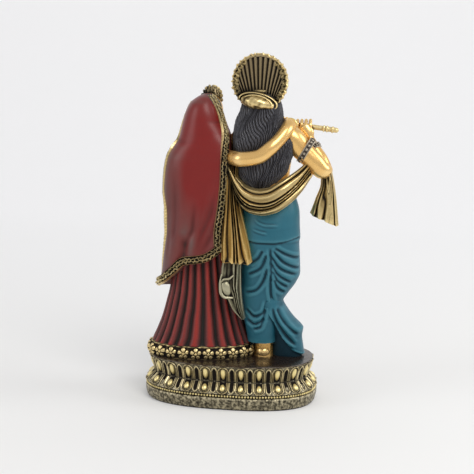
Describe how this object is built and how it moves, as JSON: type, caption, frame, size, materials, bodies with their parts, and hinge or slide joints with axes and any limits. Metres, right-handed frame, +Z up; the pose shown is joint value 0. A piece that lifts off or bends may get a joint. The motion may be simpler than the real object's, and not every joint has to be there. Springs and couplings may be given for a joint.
{
  "type": "radha krishna statue",
  "caption": "Painted cast statuette of two draped figures, one playing a flute, standing together on an oval double lotus plinth.",
  "frame": {"origin": "centre of the plinth's flat underside", "axes": "+Z up, the figures face -Y and their draped backs face +Y, Radha stands at +X and Krishna at -X"},
  "size_m": [0.1483, 0.093, 0.2707],
  "materials": {
    "painted_resin": "hand painted cold-cast resin, satin",
    "antique_gold": "antique gold paint with a dark wash, satin",
    "gold_skin": "gold paint, satin",
    "red_cloth": "deep red paint with a dark wash, satin",
    "blue_cloth": "teal blue paint with a dark wash, satin",
    "dark_hair": "charcoal paint, satin"
  },
  "bodies": {
    "root": {"statue": "painted_resin"}
  },
  "joints": []
}
